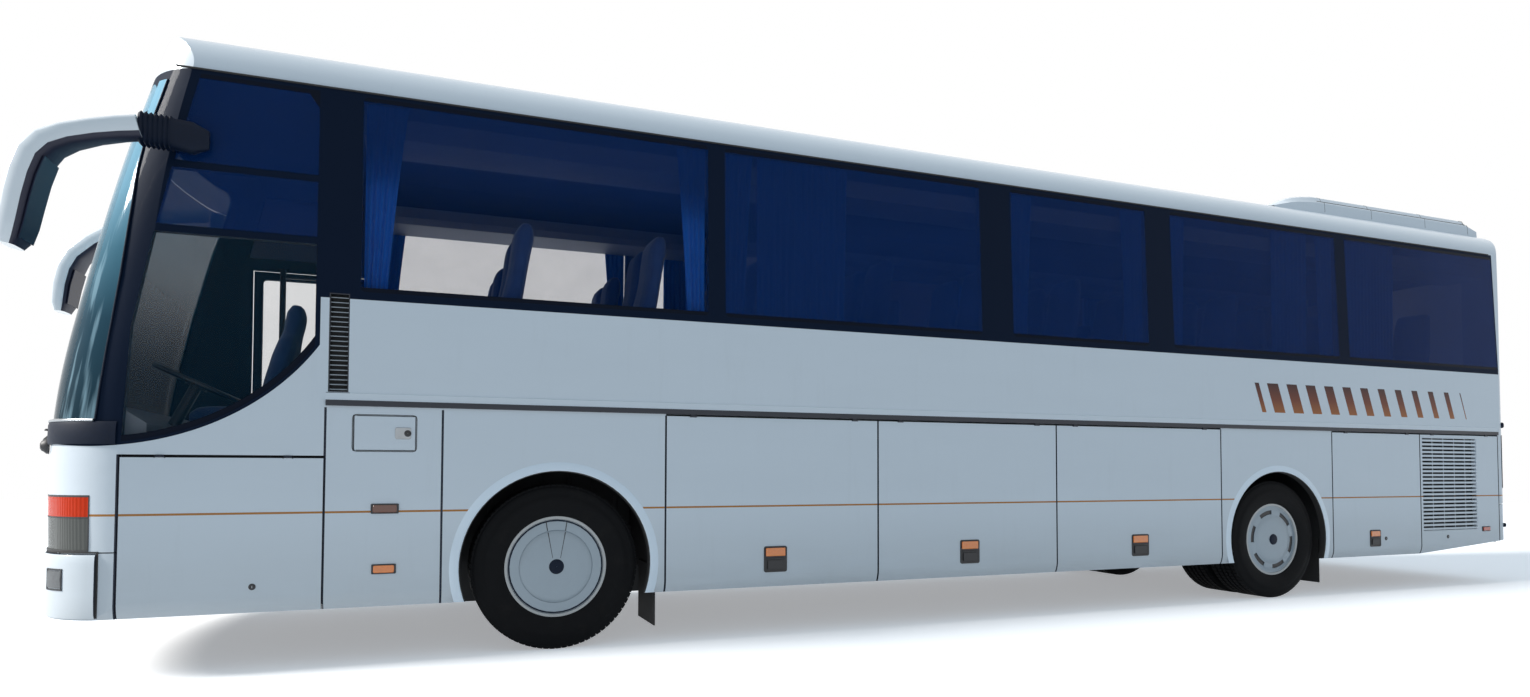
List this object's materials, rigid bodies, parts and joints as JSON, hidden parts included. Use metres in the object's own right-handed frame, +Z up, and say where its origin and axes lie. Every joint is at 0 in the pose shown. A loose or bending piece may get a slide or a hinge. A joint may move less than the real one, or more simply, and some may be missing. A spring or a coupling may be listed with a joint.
{
  "type": "coach bus",
  "caption": "High-deck touring coach with a raked windscreen, dark side glass, underfloor luggage bays with hinged flaps, swing-out front door and a roof cooling unit.",
  "frame": {"origin": "on the ground at the centre line, half way along the overall length with the forward mirror", "axes": "+X forward, +Y to the vehicle's left, +Z up"},
  "size_m": [12.5781, 3.0744, 3.6499],
  "materials": {
    "body_paint": "gloss white",
    "tyre": "matte",
    "wheel_paint": "satin grey",
    "tinted_glass": "tinted",
    "lamp_glass": "clear over reflectors",
    "chassis_paint": "black chassis paint",
    "cast_metal": "as cast",
    "floor_covering": "vinyl",
    "seat_fabric": "woven",
    "curtain_fabric": "pleated",
    "black_plastic": "satin",
    "mudflap_rubber": "matte"
  },
  "bodies": {
    "coach_body": {"roof_shell": "body_paint", "ac_unit": "body_paint", "roof_hatches": "body_paint", "side_wall_left": "body_paint", "side_windows_left": "tinted_glass", "side_wall_right": "body_paint", "side_windows_right": "tinted_glass", "windscreen": "tinted_glass", "front_mask": "body_paint", "rear_window": "tinted_glass", "bumpers": "body_paint", "lamps": "lamp_glass", "lower_panels_left": "body_paint", "lower_panels_right": "body_paint", "side_trim": "black_plastic", "rear_fascia": "body_paint", "deck_floor": "floor_covering", "cab_floor": "floor_covering", "underframe": "chassis_paint", "engine_block": "cast_metal", "axles": "chassis_paint", "cab_frame": "body_paint", "mirrors": "body_paint", "wipers": "black_plastic", "dashboard": "black_plastic", "steering_wheel": "black_plastic", "driver_seat": "seat_fabric", "passenger_seats": "seat_fabric", "luggage_racks": "black_plastic", "curtains": "curtain_fabric", "mudflaps": "mudflap_rubber"},
    "knuckle_left": {"knuckle_left": "chassis_paint"},
    "front_wheel_left": {"front_tyre_left": "tyre", "front_wheel_left": "wheel_paint"},
    "rear_wheels_left": {"rear_tyres_left": "tyre", "rear_wheels_left": "wheel_paint"},
    "luggage_flap_left_1": {"luggage_flap_left_1": "body_paint"},
    "luggage_flap_left_2": {"luggage_flap_left_2": "body_paint"},
    "luggage_flap_left_3": {"luggage_flap_left_3": "body_paint"},
    "cooler_flap_left": {"cooler_flap_left": "body_paint"},
    "engine_flap_left": {"engine_flap_left": "body_paint"},
    "knuckle_right": {"knuckle_right": "chassis_paint"},
    "front_wheel_right": {"front_tyre_right": "tyre", "front_wheel_right": "wheel_paint"},
    "rear_wheels_right": {"rear_tyres_right": "tyre", "rear_wheels_right": "wheel_paint"},
    "luggage_flap_right_1": {"luggage_flap_right_1": "body_paint"},
    "luggage_flap_right_2": {"luggage_flap_right_2": "body_paint"},
    "luggage_flap_right_3": {"luggage_flap_right_3": "body_paint"},
    "cooler_flap_right": {"cooler_flap_right": "body_paint"},
    "engine_flap_right": {"engine_flap_right": "body_paint"},
    "service_flap": {"service_flap": "body_paint"},
    "fuel_flap": {"fuel_flap": "body_paint"},
    "engine_lid": {"engine_lid": "body_paint"},
    "front_door_arm": {"front_door_arm": "chassis_paint"},
    "front_door": {"front_door": "body_paint", "front_door_glass": "tinted_glass"}
  },
  "joints": [
    {"name": "steer_left", "type": "hinge", "parent": "coach_body", "child": "knuckle_left", "pos_m": [2.995, 0.93, 0.5], "axis": [0, 0, 1], "range_deg": [-40, 40]},
    {"name": "front_wheel_left_spin", "type": "hinge", "parent": "knuckle_left", "child": "front_wheel_left", "pos_m": [2.995, 1.0525, 0.5], "axis": [0, 1, 0], "continuous": true},
    {"name": "rear_wheels_left_spin", "type": "hinge", "parent": "coach_body", "child": "rear_wheels_left", "pos_m": [-3.085, 1.0525, 0.5], "axis": [0, 1, 0], "continuous": true},
    {"name": "luggage_flap_left_1_hinge", "type": "hinge", "parent": "coach_body", "child": "luggage_flap_left_1", "pos_m": [1.569, 1.25, 1.434], "axis": [1, 0, 0], "range_deg": [0, 90]},
    {"name": "luggage_flap_left_2_hinge", "type": "hinge", "parent": "coach_body", "child": "luggage_flap_left_2", "pos_m": [0.0395, 1.25, 1.434], "axis": [1, 0, 0], "range_deg": [0, 90]},
    {"name": "luggage_flap_left_3_hinge", "type": "hinge", "parent": "coach_body", "child": "luggage_flap_left_3", "pos_m": [-1.5745, 1.25, 1.434], "axis": [1, 0, 0], "range_deg": [0, 90]},
    {"name": "cooler_flap_left_hinge", "type": "hinge", "parent": "coach_body", "child": "cooler_flap_left", "pos_m": [-4.3425, 1.25, 1.434], "axis": [1, 0, 0], "range_deg": [0, 90]},
    {"name": "engine_flap_left_hinge", "type": "hinge", "parent": "coach_body", "child": "engine_flap_left", "pos_m": [-5.518, 1.25, 1.434], "axis": [1, 0, 0], "range_deg": [0, 90]},
    {"name": "steer_right", "type": "hinge", "parent": "coach_body", "child": "knuckle_right", "pos_m": [2.995, -0.93, 0.5], "axis": [0, 0, 1], "range_deg": [-40, 40]},
    {"name": "front_wheel_right_spin", "type": "hinge", "parent": "knuckle_right", "child": "front_wheel_right", "pos_m": [2.995, -1.0525, 0.5], "axis": [0, 1, 0], "continuous": true},
    {"name": "rear_wheels_right_spin", "type": "hinge", "parent": "coach_body", "child": "rear_wheels_right", "pos_m": [-3.085, -1.0525, 0.5], "axis": [0, 1, 0], "continuous": true},
    {"name": "luggage_flap_right_1_hinge", "type": "hinge", "parent": "coach_body", "child": "luggage_flap_right_1", "pos_m": [1.569, -1.25, 1.434], "axis": [-1, 0, 0], "range_deg": [0, 90]},
    {"name": "luggage_flap_right_2_hinge", "type": "hinge", "parent": "coach_body", "child": "luggage_flap_right_2", "pos_m": [0.0395, -1.25, 1.434], "axis": [-1, 0, 0], "range_deg": [0, 90]},
    {"name": "luggage_flap_right_3_hinge", "type": "hinge", "parent": "coach_body", "child": "luggage_flap_right_3", "pos_m": [-1.5745, -1.25, 1.434], "axis": [-1, 0, 0], "range_deg": [0, 90]},
    {"name": "cooler_flap_right_hinge", "type": "hinge", "parent": "coach_body", "child": "cooler_flap_right", "pos_m": [-4.3425, -1.25, 1.434], "axis": [-1, 0, 0], "range_deg": [0, 90]},
    {"name": "engine_flap_right_hinge", "type": "hinge", "parent": "coach_body", "child": "engine_flap_right", "pos_m": [-5.518, -1.25, 1.434], "axis": [-1, 0, 0], "range_deg": [0, 90]},
    {"name": "service_flap_hinge", "type": "hinge", "parent": "coach_body", "child": "service_flap", "pos_m": [4.747, 1.25, 1.155], "axis": [1, 0, 0], "range_deg": [0, 85]},
    {"name": "fuel_flap_hinge", "type": "hinge", "parent": "coach_body", "child": "fuel_flap", "pos_m": [4.118, 1.243, 1.2945], "axis": [0, 0, -1], "range_deg": [0, 110]},
    {"name": "engine_lid_hinge", "type": "hinge", "parent": "coach_body", "child": "engine_lid", "pos_m": [-6.285, 0, 1.94], "axis": [0, 1, 0], "range_deg": [0, 80]},
    {"name": "front_door_arm_swing", "type": "hinge", "parent": "coach_body", "child": "front_door_arm", "pos_m": [4.77, -1.15, 1.5], "axis": [0, 0, 1], "range_deg": [0, 150]},
    {"name": "front_door_turn", "type": "hinge", "parent": "front_door_arm", "child": "front_door", "pos_m": [4.34, -1.15, 1.5], "axis": [0, 0, 1], "range_deg": [-150, 0]}
  ],
  "couplings": [
    {"joint": "steer_right", "follows": "steer_left", "ratio": 1},
    {"joint": "front_door_turn", "follows": "front_door_arm_swing", "ratio": -1}
  ]
}
